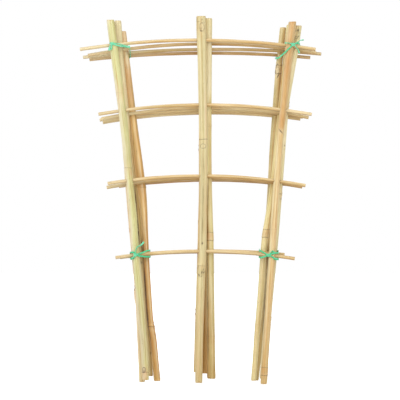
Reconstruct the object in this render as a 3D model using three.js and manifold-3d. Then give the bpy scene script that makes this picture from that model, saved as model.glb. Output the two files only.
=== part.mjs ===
// Four bamboo fan trellises, nested one behind the other and tied together at their corners.
// Millimetres. +Z runs up the middle canes, +X to the right, and the front faces -Y.
import * as THREE from "three";
import { mergeVertices } from "three/addons/utils/BufferGeometryUtils.js";
import Module from "manifold-3d";

const wasm = await Module();
wasm.setup();

// Driving sizes of the fan: its height, and how far the outer canes stand from the middle one
const fanHeight = 450;
const leftFootSpread = 64.7;
const leftTopSpread = 111.6;
const rightFootSpread = 63.4;
const rightTopSpread = 104.3;

// Driving sizes of the canes and of the bars threaded through them
const caneDiameter = 9.8;
const nodeSwell = 0.35;
const nodeLength = 2.6;
const barDiameter = 4.2;
const barOverhang = 30;
const holeClearance = 0.3;
const holeOverrun = 3;

// Driving sizes of the ties
const tieDiameter = 1.7;
const tieSlack = 0.5;
const tieClearance = 0.9;
const knotLength = 5.2;
const knotWidth = 3.6;
const knotThickness = 2.6;
const seatGap = 0.3;

// How far one trellis lies behind the next: a full cane where their canes cross,
// and a cane's and a bar's half where they lie side by side
const crossedPitchShare = 0.98;
const backPitchShare = 0.85;
const thickestCaneShare = 1.1;
const crossedPitch = crossedPitchShare * caneDiameter;
const nestedPitch = (thickestCaneShare * caneDiameter + barDiameter) / 2 + seatGap;
const backPitch = backPitchShare * caneDiameter;

// Numbers of facets
const caneSides = 12;
const barHalfSides = 5;
const barSteps = 9;
const tieSides = 6;
const turnSteps = 28;
const turnSamples = 32;
const tailSteps = 5;
const knotSides = 8;
const knotRings = 5;

// Each cane is a line of stations from foot to top: [height, offset, girth], where height is a
// share of the fan's height, offset, from the straight line of its post, and girth are shares of
// the cane diameter. Its nodes are at shares of the fan's height. Each bar has the height of its
// middle as a share of the fan's height, its ends as shares of the overhang, its bow as a share
// of the one that crosses the outer posts squarely, and its tilt as a share of the posts' lean.
const trellisShares = [
  {
    name: "front",
    left: {
      line: [[0.011, -0.7, 0.82], [0.09, -0.5, 0.83], [0.21, -0.37, 0.85], [0.39, -0.25, 0.88],
        [0.465, -0.09, 0.9], [0.52, -0.11, 0.86], [0.57, -0.08, 0.86], [0.605, -0.15, 1.0],
        [0.65, -0.06, 0.96], [0.76, -0.13, 0.99], [0.88, -0.3, 1.02], [0.99, -0.42, 0.96]],
      nodes: [0.04, 0.587, 0.79],
    },
    middle: {
      line: [[0.003, -0.73, 0.88], [0.12, -0.68, 0.95], [0.3, -0.47, 1.06], [0.36, -0.26, 0.93],
        [0.57, -0.13, 1.02], [0.745, -0.19, 1.1], [0.9, -0.31, 1.15], [0.94, -0.4, 1.22],
        [1.0, -0.45, 1.18]],
      nodes: [0.31, 0.666, 0.965],
    },
    right: {
      line: [[0.0, 0.88, 0.82], [0.19, 0.66, 0.82], [0.35, 0.48, 0.86], [0.52, 0.24, 0.83],
        [0.69, 0.15, 0.85], [0.79, 0.24, 0.86], [0.9, 0.25, 1.04], [0.985, 0.36, 0.99]],
      nodes: [0.034, 0.42, 0.686],
    },
    bars: [
      { height: 0.9334, left: 1.46, right: 1.13, bow: 1.17, tilt: 0.09 },
      { height: 0.758, left: 0.98, right: 1.21, bow: 1.36, tilt: 0.0 },
      { height: 0.5652, left: 0.91, right: 1.22, bow: 1.31, tilt: 0.07 },
      { height: 0.361, left: 0.91, right: 1.06, bow: 1.15, tilt: 0.06 },
    ],
  },
  {
    name: "second",
    left: {
      line: [[0.005, -1.17, 0.72], [0.255, -0.47, 0.8], [0.43, -0.4, 0.83], [0.58, -0.26, 0.83],
        [0.65, 0.02, 0.83],
        [0.73, 0.26, 0.83], [0.87, 0.3, 0.83], [0.988, 0.5, 0.86]],
      nodes: [0.255, 0.43, 0.8],
    },
    middle: {
      line: [[0.014, 0.83, 1.08], [0.15, 0.76, 1.02], [0.39, 0.65, 0.95], [0.52, 0.47, 0.92],
        [0.62, 0.4, 0.92], [0.79, 0.42, 0.92], [0.995, 0.48, 0.93]],
      nodes: [0.13, 0.402, 0.7],
    },
    right: {
      line: [[0.014, 0.72, 0.84], [0.18, 0.66, 0.85], [0.41, 0.67, 0.85],
        [0.57, 0.57, 0.85], [0.76, 0.44, 0.85], [0.9, 0.99, 0.86], [0.975, 1.18, 0.84]],
      nodes: [0.179, 0.505, 0.753],
    },
    bars: [
      { height: 0.924, left: 1.16, right: 1.17, bow: 1.38, tilt: -0.07 },
      { height: 0.7505, left: 0.87, right: 1.1, bow: 1.59, tilt: -0.07 },
      { height: 0.5595, left: 0.96, right: 1.1, bow: 1.43, tilt: -0.03 },
      { height: 0.3614, left: 0.74, right: 0.65, bow: 0.98, tilt: -0.15 },
    ],
  },
  {
    name: "third",
    left: {
      line: [[0.007, 0.72, 0.82], [0.135, 0.76, 0.88], [0.165, 0.58, 0.81], [0.32, 0.84, 0.82],
        [0.42, 1.12, 0.82], [0.465, 1.25, 0.89], [0.52, 1.29, 1.1], [0.6, 1.22, 1.08],
        [0.65, 1.21, 0.94], [0.7, 1.16, 0.86], [0.79, 1.09, 0.84], [0.96, 0.96, 0.84]],
      nodes: [0.15, 0.535, 0.86],
    },
    middle: {
      line: [[0.031, -0.93, 0.9], [0.11, -0.83, 0.9], [0.3, -0.54, 0.9], [0.39, -0.42, 0.9],
        [0.52, -0.28, 0.88], [0.79, -0.28, 0.88], [0.978, -0.42, 0.9]],
      nodes: [0.19, 0.44, 0.636],
    },
    right: {
      line: [[0.008, -0.38, 0.66], [0.135, -0.49, 0.7], [0.245, -0.5, 0.74], [0.35, -0.61, 0.77],
        [0.402, -0.61, 0.8], [0.49, -0.3, 0.77], [0.57, -0.14, 0.78], [0.68, -0.09, 0.8],
        [0.977, 0.08, 0.8]],
      nodes: [0.16, 0.408, 0.7],
    },
    bars: [
      { height: 0.9095, left: 1.38, right: 1.4, bow: 0.78, tilt: -0.12 },
      { height: 0.7438, left: 0.96, right: 0.87, bow: 1.3, tilt: -0.1 },
      { height: 0.5568, left: 0.72, right: 0.83, bow: 1.14, tilt: -0.08 },
      { height: 0.36, left: 0.68, right: 0.53, bow: 0.95, tilt: -0.03 },
    ],
  },
  {
    name: "back",
    left: {
      line: [[0.02, -0.15, 0.82], [0.08, -0.03, 0.82], [0.19, 0.18, 0.82], [0.35, 0.32, 0.82],
        [0.54, 0.46, 0.82], [0.7, 0.38, 0.82], [0.79, 0.27, 0.82], [0.97, 0.19, 0.82]],
      nodes: [0.228, 0.473, 0.72],
    },
    middle: {
      line: [[0.027, 0.03, 0.8], [0.3, 0.1, 0.8], [0.68, 0.12, 0.8], [0.984, 0.1, 0.8]],
      nodes: [0.25, 0.52, 0.81],
    },
    right: {
      line: [[0.008, -0.15, 0.78], [0.08, -0.06, 0.78], [0.19, -0.14, 0.78], [0.3, -0.26, 0.78],
        [0.42, -0.3, 0.78], [0.52, -0.42, 0.78], [0.65, -0.65, 0.78], [0.855, -0.8, 0.8],
        [0.971, -0.71, 0.79]],
      nodes: [0.12, 0.3, 0.62, 0.855],
    },
    bars: [
      { height: 0.8997, left: 1.14, right: 0.97, bow: 0.77, tilt: -0.05 },
      { height: 0.737, left: 0.85, right: 0.79, bow: 1.28, tilt: -0.13 },
      { height: 0.5543, left: 0.48, right: 0.72, bow: 1.14, tilt: -0.09 },
      { height: 0.359, left: 0.58, right: 0.49, bow: 0.96, tilt: 0.0 },
    ],
  },
];

const rowNames = ["top", "upper", "lower", "bottom"];

// Each tie has its knot beside the post line, as a share of the cane diameter, and above the
// front bar, as a share of the bar's, and loose ends drawn from the knot in shares of the knot.
// A turn has, on each side, the number of bars from the front that it passes under, and how far
// it runs level there, as a share, instead of following the bars.
const crossedTurnShares = [
  { left: [4, 0], right: [0, 0] },
  { left: [0, 0], right: [4, 0] },
];
const tieShares = [
  {
    name: "top_left_tie", post: "left", row: 0, knot: [-0.5, 0.4],
    turns: [{ left: [1, 0], right: [4, 0] }],
    tails: [[[1.55, 0.05], [3.1, -0.5], [4.3, -0.75]], [[-0.4, -0.5], [-0.6, -1.1], [-0.55, -1.6]]],
  },
  {
    name: "top_right_tie", post: "right", row: 0, knot: [0.62, 0.48],
    turns: [{ left: [4, 1], right: [0, 0] }],
    tails: [[[0.9, 0.45], [1.8, 0.95], [2.5, 1.05]], [[0.7, -0.6], [1.2, -1.3], [1.5, -2.0]],
      [[-0.9, 0.3], [-1.9, 0.35]]],
  },
  {
    name: "bottom_left_tie", post: "left", row: 3, knot: [-0.27, 0.0],
    turns: crossedTurnShares,
    tails: [[[0.0, 0.9], [0.45, 1.9], [1.3, 2.3], [1.9, 3.1]], [[-0.45, -0.4], [-0.9, -0.8]]],
  },
  {
    name: "bottom_right_tie", post: "right", row: 3, knot: [-0.07, 0.0],
    turns: crossedTurnShares,
    tails: [[[0.5, 0.5], [0.95, 0.95], [1.4, 0.6]], [[0.8, -0.4], [1.5, -0.75], [2.1, -0.95]]],
  },
];

// Bamboo, bar and tie colours, front trellis first
const caneColours = {
  left: ["#e4dcae", "#dccf9c", "#cda56f", "#c2a878"],
  middle: ["#dfc891", "#dfd19b", "#d8c48c", "#bd9a63"],
  right: ["#d9ad78", "#dccb93", "#d5bf85", "#b99f68"],
};
const barColours = ["#d9ac74", "#cba672", "#c79a64", "#bd8f5c"];
const tieColour = "#4fcf97";
const caneRoughness = 0.55;
const barRoughness = 0.65;
const tieRoughness = 0.35;

// Where each trellis lies, front first
const depths = [0, crossedPitch, crossedPitch + nestedPitch, crossedPitch + nestedPitch + backPitch];

// How far the outer posts lean, as a rise over run
const leftLean = (leftTopSpread - leftFootSpread) / fanHeight;
const rightLean = (rightTopSpread - rightFootSpread) / fanHeight;

// Straight line of a post at a height
function postX(post, height) {
  if (post === "left") return -leftFootSpread - leftLean * height;
  if (post === "right") return rightFootSpread + rightLean * height;
  return 0;
}

// Value of one column of a table of stations at a share of the height
function along(line, column, share) {
  const last = line.length - 1;
  if (share <= line[0][0]) return line[0][column];
  if (share >= line[last][0]) return line[last][column];
  const next = line.findIndex((station) => station[0] > share);
  const [low, high] = [line[next - 1], line[next]];
  const part = (share - low[0]) / (high[0] - low[0]);
  return THREE.MathUtils.lerp(low[column], high[column], part);
}

// Centre and radius of a cane at a height
function caneAt(trellis, post, height) {
  const cane = trellisShares[trellis][post];
  const share = height / fanHeight;
  return {
    x: postX(post, height) + along(cane.line, 1, share) * caneDiameter,
    y: depths[trellis],
    radius: (along(cane.line, 2, share) * caneDiameter) / 2,
  };
}

// Height of a bar at a place across the fan
function barHeight(trellis, row, x) {
  const bar = trellisShares[trellis].bars[row];
  const middle = bar.height * fanHeight;
  const lean = (leftLean + rightLean) / 2;
  const bow = (bar.bow * lean) / (postX("right", middle) - postX("left", middle));
  return middle - bar.tilt * lean * x - bow * x * x;
}

// A closed solid from a geometry's triangles, without those that have no area
function solid(geometry) {
  geometry.deleteAttribute("normal");
  geometry.deleteAttribute("uv");
  const merged = mergeVertices(geometry);
  const corners = merged.index.array;
  const kept = [];
  for (let i = 0; i < corners.length; i += 3) {
    const [a, b, c] = [corners[i], corners[i + 1], corners[i + 2]];
    if (a !== b && b !== c && c !== a) kept.push(a, b, c);
  }
  return new wasm.Manifold(new wasm.Mesh({
    numProp: 3,
    vertProperties: merged.attributes.position.array,
    triVerts: new Uint32Array(kept),
  }));
}

// A named mesh with its own material
function mesh(name, body, colour, roughness) {
  const made = body.getMesh();
  const geometry = new THREE.BufferGeometry();
  geometry.setAttribute("position", new THREE.BufferAttribute(made.vertProperties, 3));
  geometry.setIndex(new THREE.BufferAttribute(made.triVerts, 1));
  geometry.computeVertexNormals();
  const material = new THREE.MeshStandardMaterial({ color: colour, roughness, metalness: 0 });
  const named = new THREE.Mesh(geometry, material);
  named.name = name;
  return named;
}

// Heights at which a cane's outline turns: its stations and, at each node, the ring's two edges
function caneHeights(cane) {
  const foot = cane.line[0][0] * fanHeight;
  const top = cane.line[cane.line.length - 1][0] * fanHeight;
  const rings = cane.nodes.map((share) => share * fanHeight);
  const edges = rings.flatMap((z) => [z - nodeLength, z, z + nodeLength]);
  const stations = cane.line.slice(1, -1).map((station) => station[0] * fanHeight);
  const clear = stations.filter((z) => rings.every((ring) => Math.abs(z - ring) > 2 * nodeLength));
  const inside = [...clear, ...edges].filter((z) => z > foot && z < top);
  return [foot, ...inside.sort((a, b) => a - b), top];
}

// A cane: its girth turned about its own axis, swollen at the nodes, then swayed to its line
function caneSolid(trellis, post) {
  const cane = trellisShares[trellis][post];
  const rings = cane.nodes.map((share) => share * fanHeight);
  const heights = caneHeights(cane);
  const outline = heights.map((z) => {
    const swell = rings.includes(z) ? nodeSwell : 0;
    return new THREE.Vector2(caneAt(trellis, post, z).radius + swell, z);
  });
  const foot = new THREE.Vector2(0, heights[0]);
  const top = new THREE.Vector2(0, heights[heights.length - 1]);
  const turned = new THREE.LatheGeometry([foot, ...outline, top], caneSides);
  turned.rotateX(Math.PI / 2);
  const spot = turned.attributes.position;
  for (let i = 0; i < spot.count; i += 1) {
    const line = caneAt(trellis, post, spot.getZ(i));
    spot.setX(i, spot.getX(i) + line.x);
    spot.setY(i, spot.getY(i) + line.y);
  }
  return solid(turned);
}

// A round rod along a curve
function rod(curve, radius, halfSides, steps) {
  const round = new THREE.Shape().absarc(0, 0, radius, 0, 2 * Math.PI);
  const options = { steps, curveSegments: halfSides, bevelEnabled: false, extrudePath: curve };
  return solid(new THREE.ExtrudeGeometry(round, options));
}

// The bowed line of a bar, a parabola between its two ends, with extra length for cutting
function barLine(trellis, row, extra) {
  const bar = trellisShares[trellis].bars[row];
  const middle = bar.height * fanHeight;
  const left = postX("left", middle) - bar.left * barOverhang - extra;
  const right = postX("right", middle) + bar.right * barOverhang + extra;
  const centre = (left + right) / 2;
  const y = depths[trellis];
  const [first, last] = [left, right].map((x) => barHeight(trellis, row, x));
  return new THREE.QuadraticBezierCurve3(
    new THREE.Vector3(left, y, first),
    new THREE.Vector3(centre, y, 2 * barHeight(trellis, row, centre) - (first + last) / 2),
    new THREE.Vector3(right, y, last),
  );
}

// A bar, or the round hole it needs in the canes
function barSolid(trellis, row, clearance) {
  const line = barLine(trellis, row, clearance > 0 ? holeOverrun : 0);
  return rod(line, barDiameter / 2 + clearance, barHalfSides, barSteps);
}

// Height of a strand beside a post: under the first bars of a row, as many as it says, and over
// the others, straight from one to the next, or level as far as its second share says
function strandHeight(row, x, y, [under, level]) {
  const heights = depths.map((_, trellis) => barHeight(trellis, row, x));
  const last = depths.length - 1;
  const slope = (heights[last] - heights[0]) / depths[last];
  const lift = ((barDiameter + tieDiameter) / 2 + tieClearance) * Math.hypot(1, slope);
  const passes = heights.map((height, i) => height + (i < under ? -lift : lift));
  const furthest = under > 0 ? Math.min(...passes) : Math.max(...passes);
  const depth = THREE.MathUtils.clamp(y, depths[0], depths[last]);
  const next = Math.max(1, depths.findIndex((each) => each >= depth));
  const part = (depth - depths[next - 1]) / (depths[next] - depths[next - 1]);
  const straight = THREE.MathUtils.lerp(passes[next - 1], passes[next], part);
  return THREE.MathUtils.lerp(straight, furthest, level);
}

// Plan of a turn: a taut loop round the four canes and, at both sides, the front bar's front face.
// Each spot is the outermost touching point in one direction, and keeps that direction's x.
function turnPlan(tie, front, turn) {
  const across = (nx) => trellisShares.map((_, i) => {
    const bar = barHeight(i, tie.row, front);
    const strand = strandHeight(tie.row, front, depths[i], nx < 0 ? turn.left : turn.right);
    return caneAt(i, tie.post, THREE.MathUtils.lerp(bar, strand, Math.abs(nx)));
  });
  const rounds = across(0);
  const right = Math.max(...rounds.map((round) => round.x + round.radius)) - barDiameter / 2;
  const left = Math.min(...rounds.map((round) => round.x - round.radius)) + barDiameter / 2;
  const guards = [left, right].map((x) => ({ x, y: depths[0], radius: barDiameter / 2 }));
  const spots = [];
  for (let i = 0; i < turnSamples; i += 1) {
    const angle = (2 * Math.PI * i) / turnSamples;
    const [nx, ny] = [Math.cos(angle), Math.sin(angle)];
    const all = [...across(nx), ...guards];
    const support = all.map((round) => round.x * nx + round.y * ny + round.radius);
    const round = all[support.indexOf(Math.max(...support))];
    const reach = round.radius + tieDiameter / 2 + tieSlack;
    spots.push(new THREE.Vector3(round.x + reach * nx, round.y + reach * ny, nx));
  }
  return { spots, left, right, last: rounds[rounds.length - 1] };
}

// The same loop with a spot added wherever a straight stretch passes the depth of a trellis
function withDepths(spots) {
  return spots.flatMap((spot, i) => {
    const next = spots[(i + 1) % spots.length];
    const passed = depths.map((depth) => (depth - spot.y) / (next.y - spot.y));
    const inside = passed.filter((part) => part > 0 && part < 1).sort((a, b) => a - b);
    return [spot, ...inside.map((part) => spot.clone().lerp(next, part))];
  });
}

// One turn of a tie, from the knot at the front round the canes and back to it
function turnCurve(tie, front, knot, turn) {
  const { spots, left, right, last } = turnPlan(tie, front, turn);
  const points = withDepths(spots).map(({ x, y, z: nx }) => {
    const ahead = y < depths[0];
    const onRight = ahead ? x > knot.x : nx > 0;
    const side = strandHeight(tie.row, x, y, onRight ? turn.right : turn.left);
    if (ahead) {
      const part = THREE.MathUtils.clamp((x - knot.x) / ((onRight ? right : left) - knot.x), 0, 1);
      return new THREE.Vector3(x, y, THREE.MathUtils.lerp(knot.z, side, part));
    }
    if (y > last.y) {
      const part = THREE.MathUtils.clamp((x - last.x + last.radius) / (2 * last.radius), 0, 1);
      const [from, to] = [turn.left, turn.right].map((pass) => strandHeight(tie.row, x, y, pass));
      return new THREE.Vector3(x, y, THREE.MathUtils.lerp(from, to, part));
    }
    return new THREE.Vector3(x, y, side);
  });
  return new THREE.CatmullRomCurve3(points, true);
}

// A tie: its turns, which meet at the front in a knot, and its loose ends
function tieSolid(tie) {
  const front = postX(tie.post, trellisShares[0].bars[tie.row].height * fanHeight);
  const knotX = front + tie.knot[0] * caneDiameter;
  const knotZ = barHeight(0, tie.row, knotX) + tie.knot[1] * barDiameter;
  const ahead = caneAt(0, tie.post, knotZ).radius + tieSlack + tieDiameter / 2;
  const knot = new THREE.Vector3(knotX, depths[0] - ahead, knotZ);
  const turns = tie.turns.map((turn) => {
    const curve = turnCurve(tie, front, knot, turn);
    return solid(new THREE.TubeGeometry(curve, turnSteps, tieDiameter / 2, tieSides, true));
  });
  const lump = new THREE.SphereGeometry(knotThickness / 2, knotSides, knotRings);
  lump.scale(knotLength / knotThickness, 1, knotWidth / knotThickness);
  lump.translate(knot.x, knot.y, knot.z);
  const tails = tie.tails.map((tail) => {
    const points = tail.map(([x, z]) => new THREE.Vector3(
      knot.x + x * knotLength,
      knot.y,
      knot.z + z * knotLength,
    ));
    const curve = new THREE.CatmullRomCurve3([knot.clone(), ...points]);
    return rod(curve, tieDiameter / 2, tieSides / 2, tailSteps);
  });
  return [...turns, solid(lump), ...tails].reduce((whole, piece) => whole.add(piece));
}

// The four trellises and their ties, stood with the lowest foot at height zero
const bundle = new THREE.Group();
trellisShares.forEach((trellis, i) => {
  const holes = rowNames.map((_, row) => barSolid(i, row, holeClearance));
  ["left", "middle", "right"].forEach((post) => {
    const drilled = holes.reduce((cane, hole) => cane.subtract(hole), caneSolid(i, post));
    const name = `${trellis.name}_${post}_cane`;
    bundle.add(mesh(name, drilled, caneColours[post][i], caneRoughness));
  });
  rowNames.forEach((rowName, row) => {
    const name = `${trellis.name}_${rowName}_bar`;
    bundle.add(mesh(name, barSolid(i, row, 0), barColours[i], barRoughness));
  });
});
tieShares.forEach((tie) => {
  bundle.add(mesh(tie.name, tieSolid(tie), tieColour, tieRoughness));
});

const extent = new THREE.Box3().setFromObject(bundle);
const centre = extent.getCenter(new THREE.Vector3());
bundle.position.set(-centre.x, -centre.y, -extent.min.z);

const trellisBundle = new THREE.Group();
trellisBundle.add(bundle);

export default trellisBundle;
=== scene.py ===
"""Four bamboo fan trellises, nested and tied with green ribbon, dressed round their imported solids."""

import bpy
import numpy as np
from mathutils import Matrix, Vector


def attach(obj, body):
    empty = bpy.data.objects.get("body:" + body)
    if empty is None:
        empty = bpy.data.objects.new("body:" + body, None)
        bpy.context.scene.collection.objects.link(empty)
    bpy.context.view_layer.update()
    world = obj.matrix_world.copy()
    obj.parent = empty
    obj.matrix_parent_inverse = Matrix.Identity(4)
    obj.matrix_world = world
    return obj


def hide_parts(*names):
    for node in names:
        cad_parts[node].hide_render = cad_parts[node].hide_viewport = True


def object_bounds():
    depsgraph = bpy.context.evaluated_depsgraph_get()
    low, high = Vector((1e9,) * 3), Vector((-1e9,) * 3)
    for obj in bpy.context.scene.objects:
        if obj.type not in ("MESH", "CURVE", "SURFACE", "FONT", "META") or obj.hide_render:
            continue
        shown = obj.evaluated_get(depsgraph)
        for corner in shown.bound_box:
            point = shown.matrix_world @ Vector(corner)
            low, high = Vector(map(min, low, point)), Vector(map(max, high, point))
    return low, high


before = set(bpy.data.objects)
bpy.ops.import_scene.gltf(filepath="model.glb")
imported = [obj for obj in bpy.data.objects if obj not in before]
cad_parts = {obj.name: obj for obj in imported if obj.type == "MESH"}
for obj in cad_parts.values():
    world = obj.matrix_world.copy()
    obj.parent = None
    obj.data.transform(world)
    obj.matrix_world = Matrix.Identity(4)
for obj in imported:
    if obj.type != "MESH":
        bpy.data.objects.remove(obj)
cad_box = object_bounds()

MM = 0.001
LAYERS = ("front", "second", "third", "back")
POSTS = ("left", "middle", "right")
ROWS = ("top", "upper", "lower", "bottom")
FAN_HEIGHT = cad_box[1].z - cad_box[0].z
SEED = 27
draw = np.random.default_rng(SEED)

# How the solids are read: a full ring of corners is this share of the widest one, its edge is this
# deep, a node's ring stands this proud of its neighbours and lies this near to them, and a cane's
# line is smoothed over this length at so many places
FULL_RING_SHARE = 0.62
RING_EDGE = 0.02 * MM
NODE_PROUD = 0.2 * MM
NODE_NEAR = 3 * MM
SWAY_SMOOTHING = 7 * MM
SWAY_PLACES = 1201

# Fineness of the skins: columns lie round a piece and rows along it
CANE_COLUMNS = 64
CANE_ROW = 1.3 * MM
FINE_ROW = 0.25 * MM
DENSITY_PLACES = 6001
BAR_COLUMNS = 32
BAR_ROW = 0.7 * MM
RIBBON_COLUMNS = 18
TURN_DIRECTIONS = 48
TURN_PLACES = 96
TURN_ROWS = 260
KNOT_ROWS = 150
TAIL_PLACES = 120
TAIL_ROWS = 90

# How far from its middle a detail of a cane has fine rows
NODE_REACH = 8 * MM
HOLE_REACH = 3.4 * MM
BUD_REACH = 5 * MM
END_REACH = 1.2 * MM

# Drilled holes: room round the bar, depth, how far from the rim corners are drawn to it, how far
# either side of it they then lie, the lip that stands up round it, and how far lip and shade fade
HOLE_CLEARANCE = 0.3 * MM
HOLE_DEPTH = 2.6 * MM
HOLE_RIM = 0.3 * MM
HOLE_EDGE = 0.03 * MM
HOLE_LIP = 0.1 * MM
LIP_FADE = 0.5 * MM
SHADE_FADE = 0.35 * MM

# Cut ends: the bark stops this short of a bar's and of a cane's end, a cane draws in by a share there,
# its cut slants at most this much, which fades down the bark, and its face has marks of the saw. The
# rows of a sawn face go inwards: share of the radius, and millimetres beyond the end of the bark.
CUT_BEVEL = 0.35 * MM
CUT_ROOM = 0.8 * MM
END_ROUND = 0.07
CUT_SLANT = 0.06
SLANT_FADE = 1.6 * MM
SAW_MARKS = 0.04 * MM
CANE_FACE = np.array([(0.975, 0.22), (0.94, 0.35), (0.80, 0.38), (0.62, 0.36), (0.46, 0.36), (0.36, 0.33),
                      (0.325, 0.1), (0.30, -0.6), (0.27, -1.6), (0.17, -2.2)])
BAR_FACE = np.array([(0.97, 0.2), (0.92, 0.34), (0.7, 0.36), (0.4, 0.34), (0.15, 0.35)])

# A bar wanders off its line and is shaded as far as this either side of a cane. Across the fan: from
# where to where the bars grow paler towards the left, their painted underside shade weaker there,
# and where the bottom ones are dusky.
BAR_WOBBLE = 0.1 * MM
POST_SHADE = 6.2 * MM
LEFT_PALING = (-55 * MM, -100 * MM)
DUSKY = (45 * MM, 65 * MM, 70 * MM, 85 * MM)

# The ribbon: its flat section, its folds, a strand's room round the canes and beside the bars, and how
# far a loose end leans back
RIBBON_HALF_WIDTH = 1.05 * MM
RIBBON_HALF_THICKNESS = 0.5 * MM
FOLD_LENGTH = 9 * MM
STRAND = 1.7 * MM
STRAND_SLACK = 0.5 * MM
BAR_ROOM = 0.9 * MM
TAIL_LEAN = 0.4 * MM

# The knot: how deep its foremost corners lie in the solid, its middle's depth, its width, depth and
# height over the middle of its strand and those of the trefoil's formula, half its strand, how fast
# its ribbon turns to face out from the middle, and how far round it a turn is gathered
KNOT_FRONT = 0.25 * MM
KNOT_HALF_THICKNESS = 1.3 * MM
KNOT_SIZE = np.array([4.644, 1.29, 3.268]) * MM
TREFOIL_SIZE = np.array([6, 2.6, 6])
KNOT_STRAND = 0.72 * MM
KNOT_FACING = 5 * MM
KNOT_GATHER = 3.5 * MM

# What a mask adds to the wood, and the face of a cut. Beside the wood's own marks, dark, warm
# and olive also carry painted shade, and pale carries painted highlights and painted light, where
# the comments below say so.
TONES = {"warm": "#cd9450", "rosy": "#e0b48a", "tan": "#bd9a5a", "olive": "#a8975a", "pale": "#f4e7c0",
         "dark": "#5a432b", "cut": "#ecd8ab"}

# The photograph's frame: how wide it is at the object, and the object's place in it
PICTURE_WIDTH = 489 * MM
PICTURE_CENTRE = (-0.8 * MM, 225 * MM)
CAMERA_DISTANCE = 8.0
SENSOR = 36.0

# Light: the even light from all round, the floor's own white near the fan and how far off it begins
# and ends to turn white, and the lamps, each with its place, width and power
WORLD_LIGHT = 0.36
FLOOR_GLOW = 0.47
FLOOR_FADE = (0.35, 0.9)
FLOOR_SIZE = 12.0
FLOOR_GAP = 0.3 * MM
LAMPS = (("left", (-1.7, -1.7, 1.6), 2.0, 31), ("right", (1.8, -1.7, 1.3), 2.0, 23),
         ("front", (-0.1, -2.7, 1.3), 1.5, 15), ("back", (0.2, 1.8, 1.6), 1.0, 14))


def colour(code):
    """A linear colour from an sRGB one written as #rrggbb."""
    parts = np.array([int(code[i:i + 2], 16) / 255 for i in (1, 3, 5)])
    linear = np.where(parts > 0.04045, ((parts + 0.055) / 1.055) ** 2.4, parts / 12.92)
    return (*linear, 1.0)


def bell(distance):
    """1 at zero, falling off on both sides as a bell: e to the minus distance squared."""
    return np.exp(-distance * distance)


def bells(distance, humps):
    """A sum of bells: each with its height, its middle and its half width."""
    return sum(height * bell((distance - middle) / half) for height, middle, half in humps)


def step(low, high, value):
    """0 below low and 1 above high, with a smooth rise between them."""
    part = np.clip((value - low) / (high - low), 0, 1)
    return part * part * (3 - 2 * part)


def turned(angle):
    """An angle brought between minus half a turn and half a turn."""
    return (angle + np.pi) % (2 * np.pi) - np.pi


def plateau(edges, value):
    """1 between two soft edges and 0 outside them: where it begins to rise and is up, and where it
    begins to fall and is down."""
    rise, up, fall, down = edges
    return step(rise, up, value) * step(down, fall, value)


def directions(count):
    """Angles evenly spaced round a full turn."""
    return np.linspace(0, 2 * np.pi, count, endpoint=False)


def phase(rng):
    """A random place on a wave."""
    return rng.uniform(0, 6.28)


def wander(along, pace, rng, waves=5):
    """A smooth random line: a sum of sines, whose lengths lie round pace and ever smaller parts of it,
    and whose size falls as they do."""
    total = np.zeros_like(along)
    for k in range(1, waves + 1):
        total += np.sin(2 * np.pi * along * k / pace * rng.uniform(0.7, 1.3) + phase(rng)) / k
    return total / 1.6


def uneven(angle, along, counts, sizes, drift, pace, rng):
    """Slow waves round a stem, as many to the round as each count says, which drift sideways along it:
    cosines of random size, summed."""
    total = 0
    for count in counts:
        sideways = drift * wander(along, pace, rng)
        total = total + rng.uniform(*sizes) * np.cos(count * angle + phase(rng) + sideways)
    return total


def corners(node):
    """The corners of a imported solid, in metres."""
    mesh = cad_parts[node].data
    flat = np.empty(3 * len(mesh.vertices), np.float32)
    mesh.vertices.foreach_get("co", flat)
    return flat.reshape(-1, 3).astype(float)


def read_cane(node):
    """A cane's line, girth and nodes, from the rings of corners of its solid. At each height the
    corners furthest forward and back give the centre and radius; a ring that stands proud of both
    its near neighbours is a node. The line is then smoothed by a running bell-shaped mean."""
    spots = corners(node)
    height, at = np.unique(np.round(spots[:, 2], 5), return_inverse=True)
    fore = np.full(len(height), np.inf)
    rear = np.full(len(height), -np.inf)
    np.minimum.at(fore, at, spots[:, 1])
    np.maximum.at(rear, at, spots[:, 1])
    full = (rear - fore) > FULL_RING_SHARE * (rear - fore).max()
    edge = (np.minimum(spots[:, 1] - fore[at], rear[at] - spots[:, 1]) < RING_EDGE).astype(float)
    x = np.bincount(at, edge * spots[:, 0]) / np.bincount(at, edge)
    height, x, y, radius = (values[full] for values in (height, x, (fore + rear) / 2, (rear - fore) / 2))
    near = (height[1:-1] - height[:-2] < NODE_NEAR) & (height[2:] - height[1:-1] < NODE_NEAR)
    proud = radius[1:-1] - (radius[:-2] + radius[2:]) / 2 > NODE_PROUD
    swollen = np.r_[False, near & proud, False]
    fine = np.linspace(height[0], height[-1], SWAY_PLACES)
    reach = int(3 * SWAY_SMOOTHING / (fine[1] - fine[0]))
    kernel = bell(np.linspace(-3, 3, 2 * reach + 1) / np.sqrt(2))

    def smoothed(values):
        line = np.interp(fine, height[~swollen], values[~swollen])
        ahead = 2 * line[0] - line[reach:0:-1]
        behind = 2 * line[-1] - line[-2:-reach - 2:-1]
        return np.convolve(np.r_[ahead, line, behind], kernel / kernel.sum(), "valid")

    return {"z": fine, "x": smoothed(x), "y": y.mean(), "radius": smoothed(radius), "nodes": height[swollen]}


def read_bar(node):
    """A bar's parabola, depth, radius and ends, fitted through the corners of its solid."""
    spots = corners(node)
    bow = np.polyfit(spots[:, 0], spots[:, 2], 2)
    left = spots[spots[:, 0] < spots[:, 0].min() + MM, 0].mean()
    right = spots[spots[:, 0] > spots[:, 0].max() - MM, 0].mean()
    fore, rear = spots[:, 1].min(), spots[:, 1].max()
    return {"bow": bow, "y": (fore + rear) / 2, "radius": (rear - fore) / 2, "left": left, "right": right}


canes = {(layer, post): read_cane(f"{layer}_{post}_cane") for layer in LAYERS for post in POSTS}
bars = {(layer, row): read_bar(f"{layer}_{row}_bar") for layer in LAYERS for row in ROWS}


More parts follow.
